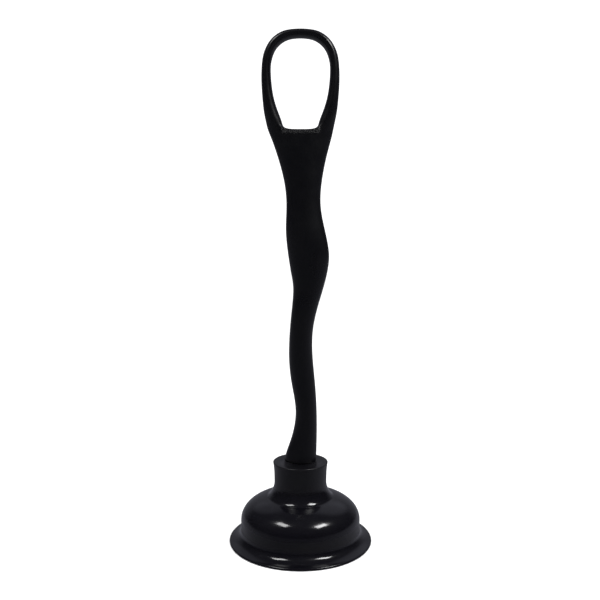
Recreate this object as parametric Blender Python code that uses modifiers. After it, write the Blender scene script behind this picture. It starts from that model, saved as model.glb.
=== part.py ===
"""Sink plunger: a moulded handle with a hanging loop, screwed into a moulded rubber cup.

Metres, +Z up the handle. The origin is the middle of the lip's underside, where the cup
rests. The loop lies in the XZ plane and the front faces -Y.
"""
from math import asin, cos, pi, radians, sin, tau

import bmesh
import bpy
import numpy as np
from mathutils import Vector
from mathutils.geometry import interpolate_bezier

# Gap left between pieces that touch
FACE_GAP = 0.0003

# Rubber cup, outside
LIP_RADIUS = 0.0510
LIP_WIDTH = 0.0083
LIP_EDGE_HEIGHT = 0.0018
LIP_ROOT_HEIGHT = 0.0088
LIP_ROOT_REACH = 0.0035
LIP_TOP_REACH = 0.0046
LIP_TOP_RISE = 0.0012
WALL_LEAN = 0.0004
BELLY_HEIGHT = 0.0154
DOME_HEIGHT = 0.0333
DOME_EYE_RADIUS = 0.0116
DOME_SQUARENESS = 2.15
NECK_RADIUS = 0.0243
NECK_RISE = 0.0091
NECK_REACH = 0.0042
COLLAR_RADIUS = 0.0187
COLLAR_HEIGHT = 0.0241
COLLAR_FLARE = 0.0009
COLLAR_FLARE_DEPTH = 0.0050
COLLAR_ROUND = 0.0005

# Rubber cup, inside
RUBBER_WALL = 0.0034
MOUTH_ROUND = 0.0030
ROOF_ROUND = 0.0020
BOSS_WALL = 0.0037
BOSS_ROUND = 0.0015
SOCKET_FLOOR = 0.0030
SOCKET_LEAD_IN = 0.0005

# Height at which the one rubber moulding is divided, because the dome folds and the rim stays
RIM_ZONE_HEIGHT = 0.0100

# Screw spigot under the handle's foot
THREAD_CORE_RADIUS = 0.0058
THREAD_RIDGE_RADIUS = 0.0011
THREAD_PITCH = 0.0060
THREAD_END_MARGIN = 0.0030
THREAD_CLEARANCE = 0.0003
SPIGOT_LENGTH = 0.0250
SPIGOT_LEAD_CHAMFER = 0.0015

# Handle; its heights are above the foot
GRIP_LENGTH = 0.2337
FOOT_WIDTH = 0.0224
FOOT_DEPTH = 0.0166
FOOT_EDGE = 0.0006
FOOT_BAND = 0.0030
SHOULDER_INSET = 0.0041
SHOULDER_DEPTH = 0.0140
LOOP_HALF_WIDTH = 0.0269
LOOP_BAR_WIDTH = 0.0066
LOOP_BAR_DEPTH = 0.0120
LOOP_CROWN_WIDTH = 0.0058
LOOP_SQUARENESS = 2.6
WINDOW_SQUARENESS = 2.4
LOOP_QUARTER_STEPS = 6
WINDOW_HEIGHT = 0.0617
WINDOW_BELLY = 0.0390

# The grip's wavy shape, from the foot to the shoulder
GRIP_SECTIONS = (
    # share of the grip's length, centre x, width, depth
    (0.041, 0.0013, 0.0206, 0.0160),
    (0.086, 0.0031, 0.0174, 0.0152),
    (0.156, 0.0041, 0.0151, 0.0146),
    (0.233, 0.0023, 0.0166, 0.0146),
    (0.306, 0.0005, 0.0170, 0.0150),
    (0.379, 0.0003, 0.0163, 0.0152),
    (0.451, 0.0022, 0.0174, 0.0154),
    (0.524, 0.0053, 0.0208, 0.0160),
    (0.575, 0.0061, 0.0253, 0.0166),
    (0.633, 0.0057, 0.0288, 0.0170),
    (0.704, 0.0035, 0.0274, 0.0168),
    (0.775, 0.0022, 0.0240, 0.0160),
    (0.847, 0.0018, 0.0262, 0.0152),
    (0.918, 0.0012, 0.0336, 0.0146),
    (0.969, 0.0007, 0.0408, 0.0142),
)

# The loop's arms, which lean outwards from the window's floor to the belly
ARM_EDGES = (
    # share of the way up to the belly, inset of the inner edge, inset of the outer edge
    (0.13, 0.0079, 0.0031),
    (0.34, 0.0045, 0.0015),
    (0.64, 0.0013, 0.0004),
)

# Facets
CUP_STEPS = 48
SOCKET_STEPS = 36
THREAD_POINTS_PER_TURN = 16
BODY_RING = 12
ARM_RING = 6

# Sizes that follow from the ones above
WALL_RADIUS = LIP_RADIUS - LIP_WIDTH
CUP_HEIGHT = DOME_HEIGHT + COLLAR_HEIGHT
NECK_HEIGHT = DOME_HEIGHT + NECK_RISE
FOOT_HEIGHT = CUP_HEIGHT + FACE_GAP
THREAD_CREST_RADIUS = THREAD_CORE_RADIUS + THREAD_RIDGE_RADIUS
SOCKET_RADIUS = THREAD_CREST_RADIUS + THREAD_CLEARANCE
SOCKET_FLOOR_HEIGHT = CUP_HEIGHT - SPIGOT_LENGTH - THREAD_CLEARANCE
BOSS_RADIUS = SOCKET_RADIUS + BOSS_WALL
DOME_ACROSS = WALL_RADIUS - DOME_EYE_RADIUS
DOME_UP = DOME_HEIGHT - BELLY_HEIGHT
NECK_SHARE = (NECK_RADIUS - DOME_EYE_RADIUS) / DOME_ACROSS
NECK_LEVEL = (1.0 - NECK_SHARE ** DOME_SQUARENESS) ** (1.0 / DOME_SQUARENESS)
NECK_SLOPE = DOME_UP / DOME_ACROSS * (NECK_SHARE / NECK_LEVEL) ** (DOME_SQUARENESS - 1.0)
NECK_JOIN_HEIGHT = BELLY_HEIGHT + DOME_UP * NECK_LEVEL
ROOF_HEIGHT = NECK_JOIN_HEIGHT - RUBBER_WALL
# The boss closes the socket, and stands at least its rounding below the roof
BOSS_HEIGHT = min(SOCKET_FLOOR_HEIGHT - SOCKET_FLOOR, ROOF_HEIGHT - BOSS_ROUND)
WINDOW_TOP = GRIP_LENGTH + WINDOW_HEIGHT
WINDOW_HALF_WIDTH = LOOP_HALF_WIDTH - LOOP_BAR_WIDTH
LOOP_TOP = WINDOW_TOP + LOOP_CROWN_WIDTH

PLASTIC_COLOUR = (0.012, 0.012, 0.013)
RUBBER_COLOUR = (0.014, 0.014, 0.015)


def new_collection(name):
    collection = bpy.data.collections.new(name)
    bpy.context.scene.collection.children.link(collection)
    return collection


def make_material(name, colour, roughness):
    material = bpy.data.materials.new(name)
    material.use_nodes = True
    shader = material.node_tree.nodes["Principled BSDF"]
    shader.inputs["Base Color"].default_value = (*colour, 1.0)
    shader.inputs["Roughness"].default_value = roughness
    shader.inputs["Metallic"].default_value = 0.0
    return material


def add_piece(name, mesh, collection, material, height=0.0):
    """An object whose origin is on the plunger's axis at a height."""
    mesh.name = name
    mesh.materials.append(material)
    mesh.shade_smooth()
    mesh.set_sharp_from_angle(angle=radians(40))
    piece = bpy.data.objects.new(name, mesh)
    piece.location.z = height
    collection.objects.link(piece)
    return piece


def evaluated_mesh(item):
    """The item's finished shape as a new mesh; the item itself is removed."""
    bpy.context.scene.collection.objects.link(item)
    bpy.context.view_layer.update()
    finished = item.evaluated_get(bpy.context.evaluated_depsgraph_get())
    mesh = bpy.data.meshes.new_from_object(finished)
    bpy.data.objects.remove(item, do_unlink=True)
    return mesh


def arc(centre, semi_axes, start, end, steps):
    """Points (radius, height) on an elliptical arc; angles in degrees above the outside."""
    points = []
    for step in range(steps + 1):
        angle = radians(start + (end - start) * step / steps)
        points.append((centre[0] + semi_axes[0] * cos(angle), centre[1] + semi_axes[1] * sin(angle)))
    return points


def sweep(start, start_handle, end_handle, end, points):
    """Points (radius, height) on a curve that leaves and arrives along its handles."""
    knots = [Vector((radius, 0.0, height)) for radius, height in (start, start_handle, end_handle, end)]
    return [(point.x, point.z) for point in interpolate_bezier(*knots, points)]


def turned_mesh(outline, steps):
    """An outline of (radius, height), outer side first and downwards, turned about Z.

    An outline that starts and ends on the axis is left open there; any other is closed.
    """
    count = len(outline)
    edges = [(index, index + 1) for index in range(count - 1)]
    if outline[0][0] > 0.0:
        edges.append((count - 1, 0))
    profile = bpy.data.meshes.new("profile")
    profile.from_pydata([(radius, 0.0, height) for radius, height in outline], edges, [])
    turned = bpy.data.objects.new("profile", profile)
    screw = turned.modifiers.new("Turn", "SCREW")
    screw.angle = tau
    screw.steps = steps
    screw.render_steps = steps
    screw.use_merge_vertices = True
    screw.merge_threshold = 0.00001
    return evaluated_mesh(turned)


def wall_radius(height):
    """Outside of the cup's wall, which leans in a little from the belly down to the lip."""
    return WALL_RADIUS - WALL_LEAN * (BELLY_HEIGHT - height) / BELLY_HEIGHT


def dome_arc(inset, low, high, steps):
    """Part of the dome's squarish curve, set in by a wall thickness, between two heights."""
    across = DOME_ACROSS - inset
    up = DOME_UP - inset
    power = 2.0 / DOME_SQUARENESS
    start = asin(((low - BELLY_HEIGHT) / up) ** (1.0 / power))
    end = asin(((high - BELLY_HEIGHT) / up) ** (1.0 / power))
    points = []
    for step in range(steps + 1):
        angle = start + (end - start) * step / steps
        points.append((DOME_EYE_RADIUS + across * cos(angle) ** power, BELLY_HEIGHT + up * sin(angle) ** power))
    return points


def rim_outline():
    """The flat sealing lip and the foot of the wall, up to the dividing height."""
    edge_round = LIP_EDGE_HEIGHT / 2
    edge_centre = LIP_RADIUS - edge_round
    root = wall_radius(LIP_ROOT_HEIGHT)
    inside = WALL_RADIUS - RUBBER_WALL
    top_of_lip = sweep(
        (root, LIP_ROOT_HEIGHT),
        (root, LIP_ROOT_HEIGHT - LIP_ROOT_REACH),
        (edge_centre - LIP_TOP_REACH, LIP_EDGE_HEIGHT + LIP_TOP_RISE),
        (edge_centre, LIP_EDGE_HEIGHT),
        7,
    )
    edge = arc((edge_centre, edge_round), (edge_round, edge_round), 90, -90, 4)
    mouth = arc((inside + MOUTH_ROUND, MOUTH_ROUND), (MOUTH_ROUND, MOUTH_ROUND), 270, 180, 3)
    return [
        (wall_radius(RIM_ZONE_HEIGHT), RIM_ZONE_HEIGHT),
        *top_of_lip,
        *edge[1:],
        *mouth,
        (inside, RIM_ZONE_HEIGHT),
    ]


def dome_outline():
    """The wall and shoulder, which fold when the handle is pushed down."""
    base = RIM_ZONE_HEIGHT + FACE_GAP
    hole = BOSS_RADIUS + FACE_GAP
    ceiling = ROOF_HEIGHT - ROOF_ROUND / 2
    inside = dome_arc(RUBBER_WALL, BELLY_HEIGHT, ceiling, 6)
    return [
        (hole, NECK_JOIN_HEIGHT),
        *dome_arc(0.0, NECK_JOIN_HEIGHT, BELLY_HEIGHT, 8),
        (wall_radius(base), base),
        (WALL_RADIUS - RUBBER_WALL, base),
        *inside,
        (inside[-1][0] - ROOF_ROUND, ROOF_HEIGHT),
        (hole, ROOF_HEIGHT),
    ]


def collar_outline():
    """The socket collar, its flare down to the dome and the closed boss inside the cup."""
    base = NECK_JOIN_HEIGHT + FACE_GAP
    rim_radius = COLLAR_RADIUS + COLLAR_FLARE
    rim_centre = (rim_radius - COLLAR_ROUND, CUP_HEIGHT - COLLAR_ROUND)
    boss_centre = (BOSS_RADIUS - BOSS_ROUND, BOSS_HEIGHT + BOSS_ROUND)
    waist = sweep(
        (rim_radius, CUP_HEIGHT - COLLAR_ROUND),
        (COLLAR_RADIUS, CUP_HEIGHT - COLLAR_FLARE_DEPTH),
        (COLLAR_RADIUS, NECK_HEIGHT + NECK_REACH),
        (COLLAR_RADIUS, NECK_HEIGHT),
        5,
    )
    flare = sweep(
        (COLLAR_RADIUS, NECK_HEIGHT),
        (COLLAR_RADIUS, NECK_HEIGHT - NECK_REACH),
        (NECK_RADIUS - NECK_REACH / 2, base + NECK_SLOPE * NECK_REACH / 2),
        (NECK_RADIUS, base),
        7,
    )
    return [
        (SOCKET_RADIUS + SOCKET_LEAD_IN, CUP_HEIGHT),
        *arc(rim_centre, (COLLAR_ROUND, COLLAR_ROUND), 90, 0, 3),
        *waist[1:],
        *flare[1:],
        (BOSS_RADIUS, base),
        *arc(boss_centre, (BOSS_ROUND, BOSS_ROUND), 0, -90, 3),
        (0.0, BOSS_HEIGHT),
        (0.0, SOCKET_FLOOR_HEIGHT),
        (SOCKET_RADIUS, SOCKET_FLOOR_HEIGHT),
        (SOCKET_RADIUS, CUP_HEIGHT - SOCKET_LEAD_IN),
        (SOCKET_RADIUS + SOCKET_LEAD_IN, CUP_HEIGHT),
    ]


def spigot_core_outline():
    """The plain core of the spigot, downwards from the foot."""
    return [
        (0.0, 0.0),
        (THREAD_CORE_RADIUS, 0.0),
        (THREAD_CORE_RADIUS, SPIGOT_LEAD_CHAMFER - SPIGOT_LENGTH),
        (THREAD_CORE_RADIUS - SPIGOT_LEAD_CHAMFER, -SPIGOT_LENGTH),
        (0.0, -SPIGOT_LENGTH),
    ]


def thread_ridge_mesh():
    """The rounded ridge of the right-hand thread, wound upwards round the core."""
    start = THREAD_END_MARGIN - SPIGOT_LENGTH
    rise = SPIGOT_LENGTH - 2 * THREAD_END_MARGIN
    turns = rise / THREAD_PITCH
    count = int(turns * THREAD_POINTS_PER_TURN) + 1
    helix = bpy.data.curves.new("thread_ridge", "CURVE")
    helix.dimensions = "3D"
    helix.bevel_depth = THREAD_RIDGE_RADIUS
    helix.bevel_resolution = 2
    helix.use_fill_caps = True
    path = helix.splines.new("POLY")
    path.points.add(count - 1)
    for index, point in enumerate(path.points):
        share = index / (count - 1)
        angle = tau * turns * share
        across = THREAD_CORE_RADIUS * cos(angle)
        along = THREAD_CORE_RADIUS * sin(angle)
        point.co = (across, along, start + rise * share, 1.0)
    mesh = evaluated_mesh(bpy.data.objects.new("thread_ridge", helix))
    shape = bmesh.new()
    shape.from_mesh(mesh)
    bmesh.ops.remove_doubles(shape, verts=shape.verts, dist=0.000001)
    shape.to_mesh(mesh)
    shape.free()
    return mesh


def through_points(rows):
    """Cage values whose smooth surface passes through the rows; the two ends stay put."""
    count = len(rows)
    weights = np.eye(count)
    for index in range(1, count - 1):
        weights[index, index - 1:index + 2] = (1 / 6, 4 / 6, 1 / 6)
    return np.linalg.solve(weights, np.array(rows))


def ring_factor(count):
    """How far a ring of cage points stands outside the smooth ring that it makes."""
    return 6.0 / (4.0 + 2.0 * cos(tau / count))


def grip_rings(cage):
    """Rings of twelve cage points, from the foot to the shoulder beside the window's floor."""
    foot = (FOOT_WIDTH / 2, FOOT_DEPTH / 2)
    rows = [(0.0, 0.0, *foot), (FOOT_EDGE, 0.0, *foot), (FOOT_BAND, 0.0002, *foot)]
    for share, centre, width, depth in GRIP_SECTIONS:
        rows.append((share * GRIP_LENGTH, centre, width / 2, depth / 2))
    rows.append((GRIP_LENGTH, 0.0, LOOP_HALF_WIDTH - SHOULDER_INSET, SHOULDER_DEPTH / 2))
    factor = ring_factor(BODY_RING)
    rings = []
    for height, centre, half_width, half_depth in through_points(rows):
        ring = []
        for index in range(BODY_RING):
            angle = tau * index / BODY_RING
            across = centre + half_width * factor * cos(angle)
            ring.append(cage.verts.new((across, half_depth * factor * sin(angle), height)))
        rings.append(ring)
    return rings


def ring_columns(cage, ring):
    """A ring of twelve as five columns across, each of three points from front to back."""
    columns = [[ring[7], ring[6], ring[5]]]
    for front, back in ((8, 4), (9, 3), (10, 2)):
        middle = cage.verts.new((ring[front].co + ring[back].co) / 2)
        columns.append([ring[front], middle, ring[back]])
    columns.append([ring[11], ring[0], ring[1]])
    return columns


def fill_columns(cage, columns):
    for left, right in zip(columns, columns[1:]):
        for row in (0, 1):
            cage.faces.new((left[row], right[row], right[row + 1], left[row + 1]))


def bridge(cage, lower, upper):
    count = len(lower)
    for index in range(count):
        after = (index + 1) % count
        cage.faces.new((lower[index], lower[after], upper[after], upper[index]))


def squarish(angle, squareness):
    """Point on a quarter of a unit curve that is round at 2 and squarer above it."""
    power = 2.0 / squareness
    return max(cos(angle), 0.0) ** power, sin(angle) ** power


def loop_edges():
    """Inner and outer edge points of the loop, from the right arm over the top to the left."""
    inner = []
    outer = []
    for share, inner_inset, outer_inset in ARM_EDGES:
        height = GRIP_LENGTH + share * WINDOW_BELLY
        inner.append((WINDOW_HALF_WIDTH - inner_inset, height))
        outer.append((LOOP_HALF_WIDTH - outer_inset, height))
    inner_belly = GRIP_LENGTH + WINDOW_BELLY
    outer_belly = inner_belly - LOOP_BAR_WIDTH / 2
    for step in range(LOOP_QUARTER_STEPS + 1):
        angle = (pi / 2) * step / LOOP_QUARTER_STEPS
        across, up = squarish(angle, WINDOW_SQUARENESS)
        inner.append((WINDOW_HALF_WIDTH * across, inner_belly + (WINDOW_TOP - inner_belly) * up))
        across, up = squarish(angle, LOOP_SQUARENESS)
        outer.append((LOOP_HALF_WIDTH * across, outer_belly + (LOOP_TOP - outer_belly) * up))
    inner += [(-across, height) for across, height in inner[-2::-1]]
    outer += [(-across, height) for across, height in outer[-2::-1]]
    return through_points(inner), through_points(outer)


def add_loop(cage, columns):
    """Raise an arm from each end of the shoulder and join the two over the window."""
    first, second, _, fourth, fifth = columns
    right_root = [fifth[1], fifth[2], fourth[2], fourth[1], fourth[0], fifth[0]]
    left_root = [first[1], first[2], second[2], second[1], second[0], first[0]]
    factor = ring_factor(ARM_RING)
    previous = right_root
    for inner, outer in zip(*loop_edges()):
        centre = (inner + outer) / 2
        reach = (outer - inner) / 2 * factor
        ring = []
        for index in range(ARM_RING):
            angle = tau * index / ARM_RING
            across, height = centre + reach * cos(angle)
            ring.append(cage.verts.new((across, LOOP_BAR_DEPTH / 2 * factor * sin(angle), height)))
        bridge(cage, previous, ring)
        previous = ring
    bridge(cage, previous, left_root)


def handle_mesh():
    """A cage of quads up the grip and round the loop, which Subdivision Surface rounds off."""
    cage = bmesh.new()
    rings = grip_rings(cage)
    for lower, upper in zip(rings, rings[1:]):
        bridge(cage, lower, upper)
    fill_columns(cage, ring_columns(cage, rings[0]))
    columns = ring_columns(cage, rings[-1])
    fill_columns(cage, columns[1:4])
    add_loop(cage, columns)
    bmesh.ops.recalc_face_normals(cage, faces=cage.faces)
    mesh = bpy.data.meshes.new("handle")
    cage.to_mesh(mesh)
    cage.free()
    return mesh


def make_spigot(parts, cutters, material):
    """The threaded stub that screws into the collar: a core with the ridge joined to it."""
    top = FOOT_HEIGHT - FACE_GAP
    ridge = add_piece("thread_ridge", thread_ridge_mesh(), cutters, material, top)
    ridge.hide_render = True
    ridge.display_type = "WIRE"
    core = turned_mesh(spigot_core_outline(), SOCKET_STEPS)
    spigot = add_piece("threaded_spigot", core, parts, material, top)
    join = spigot.modifiers.new("Thread", "BOOLEAN")
    join.operation = "UNION"
    join.object = ridge


def make_handle(parts, material):
    handle = add_piece("handle", handle_mesh(), parts, material, FOOT_HEIGHT)
    rounding = handle.modifiers.new("Round", "SUBSURF")
    rounding.levels = 1
    rounding.render_levels = 1


def make_plunger():
    for item in list(bpy.data.objects):
        bpy.data.objects.remove(item, do_unlink=True)
    parts = new_collection("sink_plunger")
    cutters = new_collection("cutters")
    rubber = make_material("black_rubber", RUBBER_COLOUR, 0.30)
    plastic = make_material("black_plastic", PLASTIC_COLOUR, 0.42)
    add_piece("cup_rim", turned_mesh(rim_outline(), CUP_STEPS), parts, rubber)
    add_piece("cup_dome", turned_mesh(dome_outline(), CUP_STEPS), parts, rubber)
    add_piece("cup_collar", turned_mesh(collar_outline(), SOCKET_STEPS), parts, rubber)
    make_spigot(parts, cutters, plastic)
    make_handle(parts, plastic)


make_plunger()
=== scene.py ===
"""Sink plunger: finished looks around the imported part.

Metres, +Z up the handle, front faces -Y. The handle with its screw spigot is one moulding of
satin black plastic. The cup with its collar is one moulding of glossy black rubber.
"""
from math import asin, atan2, cos, hypot, pi, radians, sin, tau

import bmesh
import bpy
import numpy as np
from bpy.props import FloatProperty, FloatVectorProperty, IntProperty, PointerProperty
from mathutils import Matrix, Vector
from mathutils.geometry import interpolate_bezier


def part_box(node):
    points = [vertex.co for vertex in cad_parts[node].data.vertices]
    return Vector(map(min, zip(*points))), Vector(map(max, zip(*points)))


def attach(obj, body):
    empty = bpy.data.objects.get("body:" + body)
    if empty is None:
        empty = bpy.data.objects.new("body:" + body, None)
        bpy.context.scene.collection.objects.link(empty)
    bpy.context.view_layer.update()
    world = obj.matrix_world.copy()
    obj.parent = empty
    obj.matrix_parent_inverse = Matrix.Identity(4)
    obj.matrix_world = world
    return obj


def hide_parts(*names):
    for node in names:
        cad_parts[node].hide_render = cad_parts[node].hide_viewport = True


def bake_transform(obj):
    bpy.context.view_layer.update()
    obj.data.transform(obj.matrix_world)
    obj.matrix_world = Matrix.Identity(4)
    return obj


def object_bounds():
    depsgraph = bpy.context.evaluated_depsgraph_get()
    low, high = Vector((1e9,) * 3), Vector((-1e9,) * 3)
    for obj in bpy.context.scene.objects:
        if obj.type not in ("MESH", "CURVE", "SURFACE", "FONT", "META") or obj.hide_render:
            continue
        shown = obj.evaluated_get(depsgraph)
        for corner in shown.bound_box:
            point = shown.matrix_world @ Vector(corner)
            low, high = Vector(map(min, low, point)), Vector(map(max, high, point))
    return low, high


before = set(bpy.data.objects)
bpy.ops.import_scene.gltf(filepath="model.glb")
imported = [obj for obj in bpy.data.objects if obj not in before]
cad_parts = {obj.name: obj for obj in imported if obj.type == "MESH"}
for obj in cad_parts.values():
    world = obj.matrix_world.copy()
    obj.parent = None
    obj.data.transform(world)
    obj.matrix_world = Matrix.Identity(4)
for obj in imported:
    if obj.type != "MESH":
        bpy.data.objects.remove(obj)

bl_info = {
    "name": "Sink Plunger",
    "version": (1, 0, 0),
    "blender": (4, 5, 0),
    "location": "View3D > Sidebar > Plunger",
    "description": "Makes a sink plunger with a moulded handle and a rubber cup",
    "category": "Add Mesh",
}

CAD_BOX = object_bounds()
RIM_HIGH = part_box("cup_rim")[1]
COLLAR_LOW, COLLAR_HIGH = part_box("cup_collar")
SPIGOT_LOW, SPIGOT_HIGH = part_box("threaded_spigot")
HANDLE_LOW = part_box("handle")[0]

# The grip's wavy shape, from the foot to the shoulder
GRIP_SECTIONS = (
    # share of the grip's length, centre x, width, depth
    (0.041, 0.0013, 0.0206, 0.0160),
    (0.086, 0.0031, 0.0174, 0.0152),
    (0.156, 0.0041, 0.0151, 0.0146),
    (0.233, 0.0023, 0.0166, 0.0146),
    (0.306, 0.0005, 0.0170, 0.0150),
    (0.379, 0.0003, 0.0163, 0.0152),
    (0.451, 0.0022, 0.0174, 0.0154),
    (0.524, 0.0053, 0.0208, 0.0160),
    (0.575, 0.0061, 0.0253, 0.0166),
    (0.633, 0.0057, 0.0288, 0.0170),
    (0.704, 0.0035, 0.0274, 0.0168),
    (0.775, 0.0022, 0.0240, 0.0160),
    (0.847, 0.0018, 0.0262, 0.0152),
    (0.918, 0.0012, 0.0336, 0.0146),
    (0.969, 0.0007, 0.0408, 0.0142),
)

# The loop's arms, which lean outwards from the window's floor to the belly
ARM_EDGES = (
    # share of the way up to the belly, inset of the inner edge, inset of the outer edge
    (0.13, 0.0079, 0.0031),
    (0.34, 0.0045, 0.0015),
    (0.64, 0.0013, 0.0004),
)

# Points in a ring of the body and of an arm, and rings in a quarter of the loop
BODY_RING = 12
ARM_RING = 6
LOOP_QUARTER_STEPS = 6

# Cuts across a ring's cap, as shares of its half width; an arm stands outside the last
CAP_CUTS = (-0.5, 0.0, 0.5)

# The thread: points round the ridge, steps in a turn, how deep its end sits in the core, how thin
# it starts, into how many parts of a turn the growing goes, and the core's reach into the foot
RIDGE_POINTS = 12
RIDGE_STEPS = 32
RIDGE_SINK = 0.0010
RIDGE_START = 0.2
RIDGE_RUNOUT = 3
CORE_OVERLAP = 0.0040
CORE_STEPS = 72
TIP_EASE = 0.0002

# Closer together than this is the same place
HAIR = 0.00001

# The two lights in front: name, degrees round from the front, degrees up
SOFTBOXES = (
    ("softbox_left", -59.0, 59.5),
    ("softbox_right", 57.5, 52.0),
)
SOFTBOX_DISTANCE = 1.1
SOFTBOX_WIDTH = 0.38
SOFTBOX_HEIGHT = 0.20
TARGET_SHARE = 0.3
FLOOR_SIZE = 12.0

# The dim lamps behind, seen only in reflections: degrees round, degrees up, spread, brightness
BACK_LAMPS = (
    (-152.0, 40.0, 20.0, 0.17),
    (151.0, 43.0, 23.0, 0.27),
)
LAMP_CORE = 6.0

# The room: brightness of ceiling, back wall and ground at their darkest and brightest, and tint
CEILING_LIGHT = (0.025, 0.10)
BACK_WALL_LIGHT = (0.0, 0.20)
GROUND_LIGHT = (0.10, 0.24)
GROUND_LIGHT_RIGHT = (0.0, 0.06)
ROOM_TINT = (0.94, 0.95, 1.10, 1.0)
WHITE_STRENGTH = 1.3

# Speckle where the window was trimmed: it fades in between the two distances below the window's
# floor, out between the two above it and the two from the middle, and lies on the front only
TRIM_BELOW = (0.0046, 0.0026)
TRIM_ABOVE = (0.0016, 0.0002)
TRIM_SIDE = (0.0140, 0.0115)
TRIM_FRONT = (0.0, -0.0015)
TRIM_HEIGHT = 0.0014

# How far the duller rubber of wall and collar takes to begin
WALL_FADE = (0.0010, 0.0006)
COLLAR_FADE = 0.0060


def length(name, description, default):
    return FloatProperty(
        name=name, description=description, default=default, min=0.0, unit="LENGTH", precision=4
    )


def colour(name, description, default):
    return FloatVectorProperty(
        name=name, description=description, default=default, min=0.0, max=1.0, size=3, subtype="COLOR"
    )


def share(name, description, default):
    return FloatProperty(name=name, description=description, default=default, min=0.0, max=1.0, subtype="FACTOR")


class CupSizes(bpy.types.PropertyGroup):
    lip_radius: length("Lip radius", "Outside of the sealing lip", RIM_HIGH.x)
    lip_width: length("Lip width", "How far the lip stands out from the wall", 0.0083)
    lip_edge: length("Lip edge", "Thickness of the lip at its edge", 0.0018)
    lip_root: length("Lip root", "Height at which the lip runs into the wall", 0.0088)
    lip_root_reach: length("Lip root reach", "How far the wall runs on down before the lip turns out", 0.0035)
    lip_top_reach: length("Lip top reach", "How far in from the edge the lip's top stays low", 0.0046)
    lip_top_rise: length("Lip top rise", "Rise of the lip's top over that reach", 0.0012)
    wall_lean: length("Wall lean", "How far the wall leans in from the belly to the lip", 0.0004)
    belly_height: length("Belly height", "Height of the cup's widest place", 0.0154)
    dome_height: length("Dome height", "Height to which the dome's curve would rise", 0.0333)
    dome_eye: length("Dome eye", "Distance of the dome curve's centre from the axis", 0.0116)
    dome_squareness: FloatProperty(
        name="Dome squareness", description="2 is an oval dome, more is squarer", default=2.15, min=2.0, max=4.0
    )
    neck_radius: length("Neck radius", "Where the neck's flare meets the dome", 0.0243)
    neck_rise: length("Neck rise", "Height of the flare's top above the dome", 0.0091)
    neck_reach: length("Neck reach", "How far the flare runs before it turns", 0.0042)
    collar_radius: length("Collar radius", "Outside of the collar at its waist", 0.0187)
    collar_top: length("Collar top", "Height of the collar's flat top", COLLAR_HIGH.z)
    collar_flare: length("Collar flare", "How far the collar widens at its top", 0.0009)
    collar_flare_depth: length("Collar flare depth", "How far down the collar widens", 0.0050)
    collar_round: length("Collar rounding", "Rounding of the collar's top edge", 0.0005)
    rubber_wall: length("Rubber wall", "Thickness of the rubber", 0.0034)
    mouth_round: length("Mouth rounding", "Rounding of the mouth's edge", 0.0030)
    roof_round: length("Roof rounding", "Rounding inside, between wall and roof", 0.0020)
    boss_radius: length("Boss radius", "Outside of the closed boss round the socket", 0.0109)
    boss_height: length("Boss height", "Height of the boss's underside", COLLAR_LOW.z)
    boss_round: length("Boss rounding", "Rounding of the boss's edge", 0.0015)
    socket_radius: length("Socket radius", "Inside of the screw socket", 0.0072)
    socket_floor: length("Socket floor", "Height of the socket's floor", 0.0321)
    socket_lead_in: length("Socket lead-in", "Bevel at the socket's mouth", 0.0005)
    corner_fillet: length("Corner fillet", "Rounding inside, in the corners of boss and socket", 0.0005)
    fold_top: length("Fold top", "Height above which the cup goes down with the handle unfolded", 0.0340)
    steps: IntProperty(name="Steps", description="Steps round the axis", default=144, min=24, max=360)


class HandleSizes(bpy.types.PropertyGroup):
    foot_height: length("Foot height", "Height of the foot's underside", HANDLE_LOW.z)
    foot_width: length("Foot width", "Side to side of the oval foot", 0.0224)
    foot_depth: length("Foot depth", "Front to back of the oval foot", 0.0166)
    foot_edge: length("Foot edge", "Height over which the foot's lower edge is rounded", 0.0006)
    foot_band: length("Foot band", "Height of the foot's plain band", 0.0030)
    grip_length: length("Grip length", "From the foot to the window's floor", 0.2337)
    shoulder_inset: length("Shoulder inset", "How much narrower the shoulder is than the loop", 0.0041)
    shoulder_depth: length("Shoulder depth", "Front to back at the window's floor", 0.0140)
    loop_half_width: length("Loop half width", "Half of the loop's outside width", 0.0269)
    bar_width: length("Bar width", "Width of the loop's bar", 0.0066)
    bar_depth: length("Bar depth", "Front to back of the loop's bar", 0.0120)
    crown_width: length("Crown width", "Width of the loop's bar at its top", 0.0058)
    loop_squareness: FloatProperty(
        name="Loop squareness", description="2 is a round top, more is squarer", default=2.6, min=2.0, max=6.0
    )
    window_squareness: FloatProperty(
        name="Window squareness",
        description="2 is a round window, more is squarer",
        default=2.4,
        min=2.0,
        max=6.0,
    )
    window_height: length("Window height", "Height of the loop's window", 0.0617)
    window_belly: length("Window belly", "Height in the window at which it is widest", 0.0390)
    core_radius: length("Thread core radius", "Radius of the spigot between the threads", 0.0058)
    ridge_radius: length("Thread ridge radius", "Radius of the rounded thread ridge", 0.0011)
    pitch: length("Thread pitch", "Rise of the thread in one turn", 0.0060)
    thread_margin: length("Thread margin", "Plain length at either end of the thread", 0.0030)
    lead_chamfer: length("Lead chamfer", "Bevel at the spigot's tip", 0.0015)
    smoothing: IntProperty(name="Smoothing", description="Levels of smoothing", default=3, min=1, max=4)


class Finishes(bpy.types.PropertyGroup):
    plastic_colour: colour("Plastic colour", "Colour of the handle", (0.0005, 0.0005, 0.0014))
    plastic_roughness: share("Plastic roughness", "Roughness of the handle's satin", 0.31)
    rubber_colour: colour("Rubber colour", "Colour of the cup", (0.0017, 0.0016, 0.0027))
    rubber_roughness: share("Rubber roughness", "Roughness of the cup's gloss", 0.13)
    bloom_colour: colour("Bloom colour", "Grey of rubbed edges and fine dust", (0.014, 0.014, 0.015))


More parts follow.
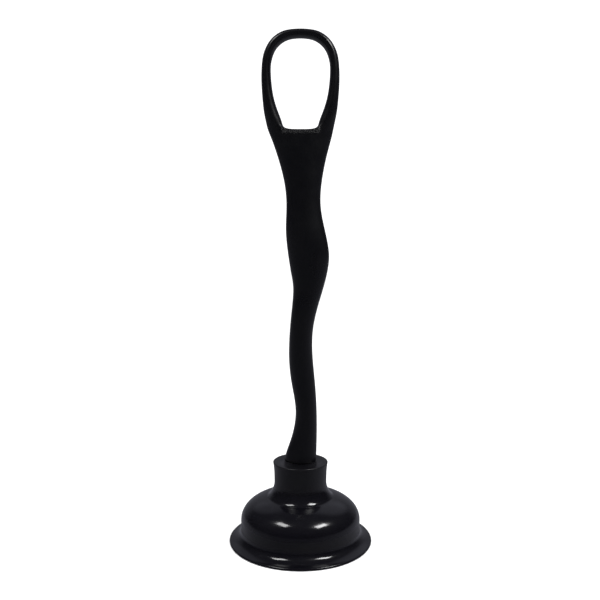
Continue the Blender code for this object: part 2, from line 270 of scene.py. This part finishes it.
class StageSettings(bpy.types.PropertyGroup):
    floor_colour: colour("Floor colour", "Colour of the pale floor", (0.90, 0.90, 0.90))
    camera_shift: FloatProperty(
        name="Camera shift",
        description="How far the lens is to the right",
        default=-0.0003,
        unit="LENGTH",
        precision=4,
    )
    camera_distance: length("Camera distance", "From the lens to the object's axis", 0.480)
    camera_height: length("Camera height", "Height of the lens above the floor", 0.2108)
    camera_pitch: FloatProperty(
        name="Camera pitch", description="How far the camera looks down", default=radians(4.47), subtype="ANGLE"
    )
    lens: FloatProperty(name="Lens", description="Focal length in millimetres", default=41.0, min=10.0)
    left_power: FloatProperty(name="Left light", description="Power of the left softbox", default=3.3, unit="POWER")
    right_power: FloatProperty(name="Right light", description="Power of the right softbox", default=5.8, unit="POWER")


# Modelling helpers


def start_piece(name):
    """Deselect all, add a circle to begin from, and open it for editing."""
    bpy.ops.object.select_all(action="DESELECT")
    bpy.ops.mesh.primitive_circle_add(vertices=3, radius=1.0)
    piece = bpy.context.object
    piece.name = name
    piece.data.name = name
    bpy.ops.object.mode_set(mode="EDIT")
    bpy.ops.mesh.select_mode(type="VERT")
    bpy.ops.mesh.select_all(action="SELECT")
    bpy.ops.mesh.delete(type="VERT")
    return piece


def edit_mesh(piece):
    shape = bmesh.from_edit_mesh(piece.data)
    shape.verts.ensure_lookup_table()
    return shape


def select_verts(piece, chosen):
    """Select only the points for which chosen(point) holds, with the edges and faces between them."""
    shape = edit_mesh(piece)
    bpy.ops.mesh.select_all(action="DESELECT")
    bpy.ops.mesh.select_mode(type="VERT")
    count = 0
    for vert in shape.verts:
        if not vert.hide and chosen(vert):
            vert.select = True
            count += 1
    shape.select_flush(True)
    bmesh.update_edit_mesh(piece.data)
    if not count:
        raise RuntimeError(f"{piece.name}: nothing was selected")
    return count


def draw_outline(piece, points, closed):
    """Draw an outline of (radius, height) in the XZ plane, point by point."""
    radius, height = points[0]
    bpy.ops.mesh.primitive_circle_add(vertices=3, radius=HAIR, location=(radius, 0.0, height))
    bpy.ops.mesh.merge(type="CENTER")
    first = Vector((radius, 0.0, height))
    previous = first
    for radius, height in points[1:]:
        point = Vector((radius, 0.0, height))
        bpy.ops.mesh.extrude_region_move(TRANSFORM_OT_translate={"value": point - previous})
        previous = point
    if closed:
        ends = (first, previous)
        select_verts(piece, lambda vert: any((vert.co - end).length < HAIR for end in ends))
        bpy.ops.mesh.edge_face_add()
    bpy.ops.mesh.select_all(action="SELECT")


def turn_round(steps):
    """Spin the selected outline right round the axis and close it up."""
    bpy.ops.mesh.spin(steps=steps, angle=tau, center=(0.0, 0.0, 0.0), axis=(0.0, 0.0, 1.0))
    bpy.ops.mesh.select_all(action="SELECT")
    bpy.ops.mesh.remove_doubles(threshold=HAIR / 2)
    bpy.ops.mesh.normals_make_consistent(inside=False)


def finish_piece(piece, sharp_angle):
    """Leave editing with outward faces, the place in the mesh and smooth shading."""
    bpy.ops.mesh.select_all(action="SELECT")
    bpy.ops.mesh.normals_make_consistent(inside=False)
    bpy.ops.object.mode_set(mode="OBJECT")
    bpy.ops.object.select_all(action="DESELECT")
    piece.select_set(True)
    bpy.context.view_layer.objects.active = piece
    bpy.ops.object.transform_apply(location=True, rotation=True, scale=True)
    bpy.ops.object.shade_smooth_by_angle(angle=sharp_angle)


def apply_modifiers(piece):
    bpy.context.view_layer.objects.active = piece
    for modifier in list(piece.modifiers):
        bpy.ops.object.modifier_apply(modifier=modifier.name)


def arc(centre, semi_axes, start, end, steps):
    """Points (radius, height) on an elliptical arc; angles in degrees above the outside."""
    points = []
    for step in range(steps + 1):
        angle = radians(start + (end - start) * step / steps)
        across, up = semi_axes[0] * cos(angle), semi_axes[1] * sin(angle)
        points.append((centre[0] + across, centre[1] + up))
    return points


def sweep(start, start_handle, end_handle, end, count):
    """Points (radius, height) on a curve that leaves and arrives along its handles."""
    knots = [Vector((radius, 0.0, height)) for radius, height in (start, start_handle, end_handle, end)]
    return [(point.x, point.z) for point in interpolate_bezier(*knots, count)]


# The rubber cup


def dome_arc(cup, inset, low, high, steps):
    """Part of the dome's curve, set in by a wall thickness, between two heights."""
    up = cup.dome_height - cup.belly_height - inset
    across = cup.lip_radius - cup.lip_width - cup.dome_eye - inset
    power = 2.0 / cup.dome_squareness
    start = asin(((low - cup.belly_height) / up) ** (1.0 / power))
    end = asin(((high - cup.belly_height) / up) ** (1.0 / power))
    points = []
    for step in range(steps + 1):
        angle = start + (end - start) * step / steps
        radius = cup.dome_eye + across * cos(angle) ** power
        points.append((radius, cup.belly_height + up * sin(angle) ** power))
    return points


def cup_outline(cup):
    """The whole moulding as two outlines: mouth, collar, dome, lip, inside and boss; and socket."""
    wall = cup.lip_radius - cup.lip_width
    root = wall - cup.wall_lean * (cup.belly_height - cup.lip_root) / cup.belly_height
    across = wall - cup.dome_eye
    rise = cup.dome_height - cup.belly_height
    neck_share = (cup.neck_radius - cup.dome_eye) / across
    neck_level = (1.0 - neck_share ** cup.dome_squareness) ** (1.0 / cup.dome_squareness)
    neck_slope = rise / across * (neck_share / neck_level) ** (cup.dome_squareness - 1.0)
    join = cup.belly_height + rise * neck_level
    roof = join - cup.rubber_wall
    neck_height = cup.dome_height + cup.neck_rise
    rim_radius = cup.collar_radius + cup.collar_flare
    rim_centre = (rim_radius - cup.collar_round, cup.collar_top - cup.collar_round)
    edge_round = cup.lip_edge / 2
    edge_centre = cup.lip_radius - edge_round
    inside = wall - cup.rubber_wall
    boss_centre = (cup.boss_radius - cup.boss_round, cup.boss_height + cup.boss_round)
    waist = sweep(
        (rim_radius, cup.collar_top - cup.collar_round),
        (cup.collar_radius, cup.collar_top - cup.collar_flare_depth),
        (cup.collar_radius, neck_height + cup.neck_reach),
        (cup.collar_radius, neck_height),
        10,
    )
    flare = sweep(
        (cup.collar_radius, neck_height),
        (cup.collar_radius, neck_height - cup.neck_reach),
        (cup.neck_radius - cup.neck_reach / 2, join + neck_slope * cup.neck_reach / 2),
        (cup.neck_radius, join),
        16,
    )
    lip = sweep(
        (root, cup.lip_root),
        (root, cup.lip_root - cup.lip_root_reach),
        (edge_centre - cup.lip_top_reach, cup.lip_edge + cup.lip_top_rise),
        (edge_centre, cup.lip_edge),
        16,
    )
    ceiling = roof - cup.roof_round / 2
    hollow = dome_arc(cup, cup.rubber_wall, cup.belly_height, ceiling, 16)
    mouth_centre = (inside + cup.mouth_round, cup.mouth_round)
    fillet = cup.corner_fillet
    return [
        (cup.socket_radius + cup.socket_lead_in, cup.collar_top),
        *arc(rim_centre, (cup.collar_round, cup.collar_round), 90, 0, 8),
        *waist[1:],
        *flare[1:],
        *dome_arc(cup, 0.0, join, cup.belly_height, 28)[1:],
        *lip,
        *arc((edge_centre, edge_round), (edge_round, edge_round), 90, -90, 10)[1:],
        *arc(mouth_centre, (cup.mouth_round, cup.mouth_round), 270, 180, 8),
        *hollow,
        (hollow[-1][0] - cup.roof_round * 0.4, roof - cup.roof_round * 0.15),
        (hollow[-1][0] - cup.roof_round, roof),
        (cup.boss_radius + fillet * 2, roof),
        (cup.boss_radius + fillet * 0.6, roof - fillet * 0.6),
        *arc(boss_centre, (cup.boss_round, cup.boss_round), 0, -90, 6)[1:],
        (0.0, cup.boss_height),
    ], [
        (0.0, cup.socket_floor),
        (cup.socket_radius - fillet, cup.socket_floor),
        (cup.socket_radius, cup.socket_floor + fillet),
        (cup.socket_radius, cup.collar_top - cup.socket_lead_in),
    ]


class PLUNGER_OT_make_cup(bpy.types.Operator):
    """Make the rubber cup with its lip, dome and socket collar"""

    bl_idname = "plunger.make_cup"
    bl_label = "Rubber Cup"

    def execute(self, context):
        cup = context.scene.plunger_cup
        piece = start_piece("rubber_cup")
        outside, socket = cup_outline(cup)
        draw_outline(piece, socket + outside, closed=False)
        turn_round(cup.steps)
        finish_piece(piece, radians(50))
        piece.data.materials.append(
            rubber_finish(
                context.scene.plunger_finishes, cup.lip_root, cup.belly_height, cup.dome_height + cup.neck_rise
            )
        )
        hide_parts("cup_rim", "cup_dome", "cup_collar")
        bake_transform(piece)
        return {"FINISHED"}


# The handle


def through_points(rows):
    """Cage values whose smooth surface passes through the rows; the two ends stay put."""
    count = len(rows)
    weights = np.eye(count)
    for index in range(1, count - 1):
        weights[index, index - 1:index + 2] = (1 / 6, 4 / 6, 1 / 6)
    return np.linalg.solve(weights, np.array(rows))


def ring_factor(count):
    """How far a ring of cage points stands outside the smooth ring that it makes."""
    return 6.0 / (4.0 + 2.0 * cos(tau / count))


def add_ring(piece, count, centre, half_width, half_depth, tilt=0.0):
    """Add a ring of points at its place, size and tilt; gives back the range of its points."""
    before = len(edit_mesh(piece).verts)
    factor = ring_factor(count)
    centre = Vector(centre)
    bpy.ops.mesh.select_all(action="DESELECT")
    turn = 0.0 if count == BODY_RING else pi / 2 - tau / count
    bpy.ops.mesh.primitive_circle_add(
        vertices=count, radius=1.0, location=centre, rotation=(0.0, 0.0, turn)
    )
    size = (half_width * factor, half_depth * factor, 1.0)
    bpy.ops.transform.resize(value=size, center_override=centre)
    if tilt:
        bpy.ops.transform.rotate(value=tilt, orient_axis="Y", center_override=centre)
    return range(before, before + count)


def bridge_rings(piece, lower, upper):
    """Join two rings, or a ring and the edge of a gap, with faces."""
    lower, upper = set(lower), set(upper)
    shape = edit_mesh(piece)
    bpy.ops.mesh.select_all(action="DESELECT")
    bpy.ops.mesh.select_mode(type="EDGE")
    for edge in shape.edges:
        ends = {edge.verts[0].index, edge.verts[1].index}
        if ends <= lower or ends <= upper:
            edge.select = True
    bmesh.update_edit_mesh(piece.data)
    bpy.ops.mesh.bridge_edge_loops()


def cap_ring(piece, ring, centre, half_width):
    """Close a ring with a sheet cut into columns, each with a point in the middle."""
    wanted = set(ring)
    select_verts(piece, lambda vert: vert.index in wanted)
    bpy.ops.mesh.edge_face_add()
    for share_across in CAP_CUTS:
        cut = (centre.x + half_width * share_across, 0.0, centre.z)
        bpy.ops.mesh.bisect(plane_co=cut, plane_no=(1.0, 0.0, 0.0))
        cap_selected(piece, centre.z)
    bpy.ops.mesh.bisect(plane_co=centre, plane_no=(0.0, 1.0, 0.0))


def cap_selected(piece, height):
    """Select the flat faces of a cap again after a cut."""
    shape = edit_mesh(piece)
    bpy.ops.mesh.select_all(action="DESELECT")
    bpy.ops.mesh.select_mode(type="FACE")
    for face in shape.faces:
        face.select = all(abs(vert.co.z - height) < HAIR for vert in face.verts)
    bmesh.update_edit_mesh(piece.data)


def squarish(angle, squareness):
    """Point on a quarter of a unit curve that is round at 2 and squarer above it."""
    power = 2.0 / squareness
    return max(cos(angle), 0.0) ** power, sin(angle) ** power


def loop_edges(handle, base):
    """Inner and outer edge points of the loop, from the right arm over the top to the left."""
    inner, outer = [], []
    half_window = handle.loop_half_width - handle.bar_width
    for rise, inner_inset, outer_inset in ARM_EDGES:
        height = base + rise * handle.window_belly
        inner.append((half_window - inner_inset, height))
        outer.append((handle.loop_half_width - outer_inset, height))
    window_top = base + handle.window_height
    loop_top = window_top + handle.crown_width
    inner_belly = base + handle.window_belly
    outer_belly = inner_belly - handle.bar_width / 2
    for step in range(LOOP_QUARTER_STEPS + 1):
        angle = (pi / 2) * step / LOOP_QUARTER_STEPS
        across, up = squarish(angle, handle.window_squareness)
        inner.append((half_window * across, inner_belly + (window_top - inner_belly) * up))
        across, up = squarish(angle, handle.loop_squareness)
        outer.append((handle.loop_half_width * across, outer_belly + (loop_top - outer_belly) * up))
    inner += [(-across, height) for across, height in inner[-2::-1]]
    outer += [(-across, height) for across, height in outer[-2::-1]]
    return through_points(inner), through_points(outer)


def model_grip(piece, handle):
    """Rings from the foot to the shoulder, bridged one to the next; gives the two end rings."""
    foot = (handle.foot_width / 2, handle.foot_depth / 2)
    rows = [(0.0, 0.0, *foot), (handle.foot_edge, 0.0, *foot), (handle.foot_band, 0.0002, *foot)]
    for rise, centre, width, depth in GRIP_SECTIONS:
        rows.append((rise * handle.grip_length, centre, width / 2, depth / 2))
    rows.append((handle.grip_length, 0.0, handle.loop_half_width - handle.shoulder_inset, handle.shoulder_depth / 2))
    rings = []
    for height, centre, half_width, half_depth in through_points(rows):
        place = Vector((centre, 0.0, handle.foot_height + height))
        rings.append((add_ring(piece, BODY_RING, place, half_width, half_depth), place, half_width))
    for (lower, _, _), (upper, _, _) in zip(rings, rings[1:]):
        bridge_rings(piece, lower, upper)
    return rings[0], rings[-1]


def open_arm_root(piece, centre, half_width, side):
    """Take the cap's end faces out on one side; gives the six points round the gap."""
    edge = half_width * CAP_CUTS[-1]
    shape = edit_mesh(piece)
    bpy.ops.mesh.select_all(action="DESELECT")
    bpy.ops.mesh.select_mode(type="FACE")
    root = set()
    for face in shape.faces:
        flat = all(abs(vert.co.z - centre.z) < HAIR for vert in face.verts)
        middle = face.calc_center_median().x - centre.x
        if flat and side * middle > edge - HAIR:
            face.select = True
            root.update(vert.index for vert in face.verts)
    bmesh.update_edit_mesh(piece.data)
    bpy.ops.mesh.delete(type="FACE")
    return root


def model_loop(piece, handle, shoulder):
    """Arms from the shoulder's two ends, joined over the window."""
    ring, centre, half_width = shoulder
    half_width *= ring_factor(BODY_RING)
    cap_ring(piece, ring, centre, half_width)
    right_root = open_arm_root(piece, centre, half_width, 1)
    left_root = open_arm_root(piece, centre, half_width, -1)
    previous = right_root
    for inner, outer in zip(*loop_edges(handle, handle.foot_height + handle.grip_length)):
        middle = (inner + outer) / 2
        reach = (outer - inner) / 2
        tilt = atan2(reach[1], reach[0])
        place = (middle[0], 0.0, middle[1])
        ring = add_ring(piece, ARM_RING, place, hypot(*reach), handle.bar_depth / 2, tilt)
        bridge_rings(piece, previous, ring)
        previous = ring
    bridge_rings(piece, previous, left_root)


def model_ridge(handle, low, top):
    """The rounded thread ridge, wound up round the core and thinner at its two ends."""
    piece = start_piece("thread_ridge")
    start = low + handle.thread_margin
    rise = top - low - 2 * handle.thread_margin
    count = int(rise / handle.pitch * RIDGE_STEPS)
    climb = handle.pitch / RIDGE_STEPS
    runout = RIDGE_STEPS // RIDGE_RUNOUT
    middle = Vector((handle.core_radius - RIDGE_SINK, 0.0, start))
    size = RIDGE_START
    bpy.ops.mesh.primitive_circle_add(
        vertices=RIDGE_POINTS, radius=handle.ridge_radius * size, location=middle, rotation=(pi / 2, 0.0, 0.0)
    )
    bpy.ops.mesh.edge_face_add()
    for step in range(1, count + 1):
        angle = tau * step / RIDGE_STEPS
        near_end = min(step, count - step) / runout
        wanted = RIDGE_START + (1.0 - RIDGE_START) * sin(min(1.0, near_end) * pi / 2)
        radius = handle.core_radius - RIDGE_SINK * max(0.0, 1.0 - near_end)
        after = Vector((radius * cos(angle), radius * sin(angle), start + climb * step))
        bpy.ops.mesh.extrude_region_move()
        bpy.ops.transform.rotate(value=-tau / RIDGE_STEPS, orient_axis="Z", center_override=middle)
        bpy.ops.transform.resize(value=(wanted / size,) * 3, center_override=middle)
        bpy.ops.transform.translate(value=after - middle)
        middle = after
        size = wanted
    finish_piece(piece, radians(40))
    return piece


def model_spigot(handle):
    """The threaded spigot as its own closed shape, reaching a little up into the foot."""
    low = SPIGOT_LOW.z
    top = SPIGOT_HIGH.z
    ridge = model_ridge(handle, low, top)
    piece = start_piece("spigot_core")
    core = handle.core_radius
    tip = core - handle.lead_chamfer
    draw_outline(piece, [
        (0.0, top + CORE_OVERLAP),
        (core, top + CORE_OVERLAP),
        (core, low + handle.lead_chamfer + TIP_EASE * 1.5),
        (core - TIP_EASE, low + handle.lead_chamfer),
        (tip, low + TIP_EASE),
        (tip - TIP_EASE * 2, low),
        (0.0, low),
    ], closed=False)
    turn_round(CORE_STEPS)
    finish_piece(piece, radians(40))
    unite(piece, ridge)
    return piece


def unite(piece, other):
    """Join another closed shape to the piece, and remove it."""
    join = piece.modifiers.new("Join", "BOOLEAN")
    join.operation = "UNION"
    join.solver = "EXACT"
    join.object = other
    apply_modifiers(piece)
    bpy.data.objects.remove(other, do_unlink=True)


class PLUNGER_OT_make_handle(bpy.types.Operator):
    """Make the handle with its hanging loop, wavy grip, foot and screw spigot"""

    bl_idname = "plunger.make_handle"
    bl_label = "Handle"

    def execute(self, context):
        handle = context.scene.plunger_handle
        spigot = model_spigot(handle)
        piece = start_piece("handle_moulding")
        foot, shoulder = model_grip(piece, handle)
        model_loop(piece, handle, shoulder)
        ring, centre, half_width = foot
        cap_ring(piece, ring, centre, half_width * ring_factor(BODY_RING))
        finish_piece(piece, radians(60))
        rounding = piece.modifiers.new("Round", "SUBSURF")
        rounding.levels = handle.smoothing
        rounding.render_levels = handle.smoothing
        apply_modifiers(piece)
        unite(piece, spigot)
        bpy.ops.object.mode_set(mode="EDIT")
        finish_piece(piece, radians(40))
        window_floor = handle.foot_height + handle.grip_length
        piece.data.materials.append(plastic_finish(context.scene.plunger_finishes, window_floor))
        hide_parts("handle", "threaded_spigot")
        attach(piece, "handle")
        return {"FINISHED"}


# Finishes


class NodeMaker:
    """Adds nodes to a node tree and links them in one call."""

    def __init__(self, tree):
        self.tree = tree

    def add(self, kind, settings=None, **sockets):
        """A node with its settings; a socket is given by its name, or by i and its number."""
        node = self.tree.nodes.new(kind)
        for name, value in (settings or {}).items():
            setattr(node, name, value)
        for name, value in sockets.items():
            plain = name.replace("_", " ")
            socket = node.inputs[plain] if plain in node.inputs else node.inputs[int(name[1:])]
            if hasattr(value, "is_linked"):
                self.tree.links.new(value, socket)
            else:
                socket.default_value = value
        return node

    def noise(self, vector, scale, detail=3.0, roughness=0.5):
        return self.add(
            "ShaderNodeTexNoise", Vector=vector, Scale=scale, Detail=detail, Roughness=roughness
        ).outputs["Fac"]

    def ramp(self, value, low, high, from_value=0.0, to_value=1.0):
        """Map a value from low..high to from_value..to_value, held at both ends."""
        node = self.add("ShaderNodeMapRange", {"clamp": True, "interpolation_type": "SMOOTHSTEP"}, Value=value)
        node.inputs["From Min"].default_value = low
        node.inputs["From Max"].default_value = high
        node.inputs["To Min"].default_value = from_value
        node.inputs["To Max"].default_value = to_value
        return node.outputs["Result"]

    def maths(self, operation, first, second=None):
        node = self.add("ShaderNodeMath", {"operation": operation}, i0=first)
        if second is not None:
            if hasattr(second, "is_linked"):
                self.tree.links.new(second, node.inputs[1])
            else:
                node.inputs[1].default_value = second
        return node.outputs[0]

    def mix(self, factor, first, second):
        node = self.add("ShaderNodeMix", {"data_type": "RGBA"})
        self.tree.links.new(factor, node.inputs["Factor"])
        for socket, value in ((node.inputs[6], first), (node.inputs[7], second)):
            if hasattr(value, "is_linked"):
                self.tree.links.new(value, socket)
            else:
                socket.default_value = (*value, 1.0)
        return node.outputs[2]

    def bump(self, height, distance, strength=1.0, normal=None):
        node = self.add("ShaderNodeBump", Height=height, Distance=distance, Strength=strength)
        if normal is not None:
            self.tree.links.new(normal, node.inputs["Normal"])
        return node.outputs["Normal"]


def new_finish(name):
    """A new material, its node maker, its shader and the place on the object."""
    material = bpy.data.materials.new(name)
    material.use_nodes = True
    maker = NodeMaker(material.node_tree)
    place = maker.add("ShaderNodeTexCoord").outputs["Object"]
    return material, maker, material.node_tree.nodes["Principled BSDF"], place


def clouded(maker, cloud, base_colour):
    """The base colour, in soft patches from a little darker to a little paler."""
    darker = [channel * 0.75 for channel in base_colour]
    paler = [channel * 1.35 for channel in base_colour]
    return maker.mix(cloud, darker, paler)


def plastic_finish(finishes, floor_height):
    """Satin black plastic: grain, flow marks, rubbed edges, speckle where the window was trimmed."""
    material, maker, shader, place = new_finish("handle_plastic")
    grain = maker.noise(place, 2600.0, 2.0, 0.6)
    ripple = maker.noise(place, 160.0, 2.0, 0.5)
    cloud = maker.noise(place, 38.0, 4.0, 0.6)
    rubbed = maker.ramp(maker.add("ShaderNodeNewGeometry").outputs["Pointiness"], 0.52, 0.60)
    worn = maker.maths("MULTIPLY", rubbed, cloud)
    dust = maker.ramp(maker.noise(place, 900.0, 2.0, 0.7), 0.70, 0.80, 0.0, 0.35)
    grey = maker.maths("MAXIMUM", worn, dust)
    parts = maker.add("ShaderNodeSeparateXYZ", Vector=place)
    below = maker.ramp(parts.outputs["Z"], *(floor_height - drop for drop in TRIM_BELOW))
    sideways = maker.maths("ABSOLUTE", parts.outputs["X"])
    above = maker.ramp(parts.outputs["Z"], *(floor_height + rise for rise in TRIM_ABOVE))
    middle = maker.ramp(sideways, *TRIM_SIDE)
    front = maker.ramp(parts.outputs["Y"], *TRIM_FRONT)
    band = maker.maths("MULTIPLY", below, above)
    trimmed = maker.maths("MULTIPLY", maker.maths("MULTIPLY", band, middle), front)
    base = clouded(maker, cloud, finishes.plastic_colour)
    maker.tree.links.new(maker.mix(grey, base, list(finishes.bloom_colour)), shader.inputs["Base Color"])
    rough = maker.ramp(cloud, 0.3, 0.7, finishes.plastic_roughness - 0.05, finishes.plastic_roughness + 0.06)
    rough = maker.maths("ADD", rough, maker.maths("MULTIPLY", grey, 0.15))
    rough = maker.maths("ADD", rough, maker.maths("MULTIPLY", trimmed, 0.12))
    maker.tree.links.new(rough, shader.inputs["Roughness"])
    shader.inputs["Specular IOR Level"].default_value = 0.38
    normal = maker.bump(ripple, 0.00025, 0.25)
    normal = maker.bump(grain, 0.00004, 0.25, normal)
    speckle = maker.maths("MULTIPLY", maker.noise(place, 1300.0, 2.0, 0.7), trimmed)
    normal = maker.bump(speckle, TRIM_HEIGHT, 1.0, normal)
    maker.tree.links.new(normal, shader.inputs["Normal"])
    return material


def rubber_finish(finishes, wall_low, wall_high, neck_height):
    """Glossy black rubber, duller on wall and collar: waviness, grain, bloom at edges, dust."""
    material, maker, shader, place = new_finish("cup_rubber")
    grain = maker.noise(place, 1800.0, 2.0, 0.6)
    wave = maker.noise(place, 95.0, 2.0, 0.5)
    cloud = maker.noise(place, 45.0, 4.0, 0.6)
    rubbed = maker.ramp(maker.add("ShaderNodeNewGeometry").outputs["Pointiness"], 0.53, 0.62)
    worn = maker.maths("MULTIPLY", rubbed, cloud)
    dust = maker.ramp(maker.noise(place, 700.0, 2.0, 0.7), 0.70, 0.82, 0.0, 0.35)
    grey = maker.maths("MAXIMUM", worn, dust)
    base = clouded(maker, cloud, finishes.rubber_colour)
    maker.tree.links.new(maker.mix(grey, base, list(finishes.bloom_colour)), shader.inputs["Base Color"])
    rough = maker.ramp(cloud, 0.3, 0.7, finishes.rubber_roughness - 0.04, finishes.rubber_roughness + 0.06)
    rough = maker.maths("ADD", rough, maker.maths("MULTIPLY", grey, 0.2))
    parts = maker.add("ShaderNodeSeparateXYZ", Vector=place)
    collar = maker.ramp(parts.outputs["Z"], neck_height - COLLAR_FADE, neck_height)
    wall = maker.maths(
        "MULTIPLY",
        maker.ramp(parts.outputs["Z"], wall_low - WALL_FADE[0], wall_low + WALL_FADE[1]),
        maker.ramp(parts.outputs["Z"], wall_high + WALL_FADE[0], wall_high - WALL_FADE[1]),
    )
    dull = maker.maths("MAXIMUM", collar, wall)
    rough = maker.maths("ADD", rough, maker.maths("MULTIPLY", dull, 0.20))
    maker.tree.links.new(rough, shader.inputs["Roughness"])
    shader.inputs["Specular IOR Level"].default_value = 0.45
    normal = maker.bump(wave, 0.0003, 0.2)
    normal = maker.bump(grain, 0.00003, 0.4, normal)
    maker.tree.links.new(normal, shader.inputs["Normal"])
    return material


# The stage


def floor_finish(floor_colour):
    """Matt and pale, very slightly mottled."""
    material, maker, shader, place = new_finish("pale_floor")
    mottle = maker.noise(place, 9.0, 3.0, 0.5)
    colour_now = maker.mix(mottle, [c * 0.985 for c in floor_colour], list(floor_colour))
    maker.tree.links.new(colour_now, shader.inputs["Base Color"])
    shader.inputs["Roughness"].default_value = 0.85
    shader.inputs["Specular IOR Level"].default_value = 0.1
    return material


def direction_to(azimuth, elevation):
    """Unit direction, in degrees round from the front and degrees up."""
    a, e = radians(azimuth), radians(elevation)
    return Vector((sin(a) * cos(e), -cos(a) * cos(e), sin(e)))


def add_softbox(name, target, azimuth, elevation, power):
    """A soft area light that faces the target."""
    bpy.ops.object.select_all(action="DESELECT")
    away = direction_to(azimuth, elevation)
    bpy.ops.object.light_add(type="AREA", location=target + away * SOFTBOX_DISTANCE)
    light = bpy.context.object
    light.name = name
    light.rotation_euler = away.to_track_quat("Z", "Y").to_euler()
    light.data.shape = "RECTANGLE"
    light.data.size = SOFTBOX_WIDTH
    light.data.size_y = SOFTBOX_HEIGHT
    light.data.energy = power


def dim_room(maker, direction):
    """Brightness of the room that the glossy pieces reflect, by direction."""
    parts = maker.add("ShaderNodeSeparateXYZ", Vector=direction)
    across, back, up = (parts.outputs[axis] for axis in "XYZ")
    ceiling = maker.ramp(up, 0.1, 0.9, *CEILING_LIGHT)
    behind = maker.ramp(back, 0.35, 0.95, *BACK_WALL_LIGHT)
    back_wall = maker.maths("MULTIPLY", behind, maker.ramp(up, 0.4, 0.85, 1.0, 0.1))
    toward_back = maker.ramp(back, -1.0, 0.7, *GROUND_LIGHT)
    toward_right = maker.ramp(across, 0.2, 1.0, *GROUND_LIGHT_RIGHT)
    below = maker.ramp(up, 0.10, -0.08)
    ground = maker.maths("MULTIPLY", below, maker.maths("ADD", toward_back, toward_right))
    room = maker.maths("MAXIMUM", maker.maths("MAXIMUM", back_wall, ground), ceiling)
    for azimuth, elevation, spread, brightness in BACK_LAMPS:
        toward = maker.add("ShaderNodeVectorMath", {"operation": "DOT_PRODUCT"}, i0=direction)
        toward.inputs[1].default_value = direction_to(azimuth, elevation)
        lamp = maker.ramp(
            toward.outputs["Value"], cos(radians(spread)), cos(radians(LAMP_CORE)), 0.0, brightness
        )
        room = maker.maths("ADD", room, lamp)
    return room


def set_world():
    """White to the camera and for soft light, and a dim bluish room in reflections."""
    world = bpy.data.worlds.new("studio")
    bpy.context.scene.world = world
    world.use_nodes = True
    maker = NodeMaker(world.node_tree)
    links = world.node_tree.links
    background = world.node_tree.nodes["Background"]
    background.inputs["Color"].default_value = ROOM_TINT
    direction = maker.add("ShaderNodeTexCoord").outputs["Generated"]
    links.new(dim_room(maker, direction), background.inputs["Strength"])
    white = maker.add("ShaderNodeBackground", Strength=WHITE_STRENGTH)
    white.inputs["Color"].default_value = (1.0, 1.0, 1.0, 1.0)
    mirrored = maker.add("ShaderNodeLightPath").outputs["Is Glossy Ray"]
    choose = maker.add("ShaderNodeMixShader")
    links.new(mirrored, choose.inputs[0])
    links.new(white.outputs[0], choose.inputs[1])
    links.new(background.outputs[0], choose.inputs[2])
    links.new(choose.outputs[0], world.node_tree.nodes["World Output"].inputs["Surface"])


class PLUNGER_OT_set_stage(bpy.types.Operator):
    """Set the pale floor, the soft lights and the camera"""

    bl_idname = "plunger.set_stage"
    bl_label = "Stage"

    def execute(self, context):
        stage = context.scene.plunger_stage
        bpy.ops.object.select_all(action="DESELECT")
        bpy.ops.mesh.primitive_plane_add(size=FLOOR_SIZE, location=(0.0, 0.0, CAD_BOX[0].z))
        floor = context.object
        floor.name = "floor"
        bpy.ops.object.transform_apply(location=True, rotation=True, scale=True)
        floor.data.materials.append(floor_finish(stage.floor_colour))
        floor.visible_glossy = False
        target = Vector((0.0, 0.0, CAD_BOX[1].z * TARGET_SHARE))
        for softbox, power in zip(SOFTBOXES, (stage.left_power, stage.right_power)):
            name, azimuth, elevation = softbox
            add_softbox(name, target, azimuth, elevation, power)
        set_world()
        bpy.ops.object.camera_add(
            location=(stage.camera_shift, -stage.camera_distance, stage.camera_height),
            rotation=(pi / 2 - stage.camera_pitch, 0.0, 0.0),
        )
        camera = context.object
        camera.name = "camera"
        camera.data.lens = stage.lens
        camera.data.sensor_width = 36.0
        context.scene.camera = camera
        context.scene.view_settings.view_transform = "Standard"
        return {"FINISHED"}


class PLUNGER_PT_panel(bpy.types.Panel):
    bl_label = "Sink Plunger"
    bl_idname = "PLUNGER_PT_panel"
    bl_space_type = "VIEW_3D"
    bl_region_type = "UI"
    bl_category = "Plunger"

    def draw(self, context):
        layout = self.layout
        scene = context.scene
        for operator, settings in (
            (PLUNGER_OT_make_handle, scene.plunger_handle),
            (PLUNGER_OT_make_cup, scene.plunger_cup),
            (None, scene.plunger_finishes),
            (PLUNGER_OT_set_stage, scene.plunger_stage),
        ):
            box = layout.box()
            for name in settings.bl_rna.properties.keys():
                if name not in ("rna_type", "name"):
                    box.prop(settings, name)
            if operator:
                box.operator(operator.bl_idname)


CLASSES = (
    CupSizes,
    HandleSizes,
    Finishes,
    StageSettings,
    PLUNGER_OT_make_handle,
    PLUNGER_OT_make_cup,
    PLUNGER_OT_set_stage,
    PLUNGER_PT_panel,
)


def register():
    for item in CLASSES:
        bpy.utils.register_class(item)
    bpy.types.Scene.plunger_cup = PointerProperty(type=CupSizes)
    bpy.types.Scene.plunger_handle = PointerProperty(type=HandleSizes)
    bpy.types.Scene.plunger_finishes = PointerProperty(type=Finishes)
    bpy.types.Scene.plunger_stage = PointerProperty(type=StageSettings)


def unregister():
    del bpy.types.Scene.plunger_stage
    del bpy.types.Scene.plunger_finishes
    del bpy.types.Scene.plunger_handle
    del bpy.types.Scene.plunger_cup
    for item in reversed(CLASSES):
        bpy.utils.unregister_class(item)


def main():
    register()
    bpy.ops.plunger.set_stage()
    bpy.ops.plunger.make_handle()
    bpy.ops.plunger.make_cup()


if __name__ == "__main__":
    main()
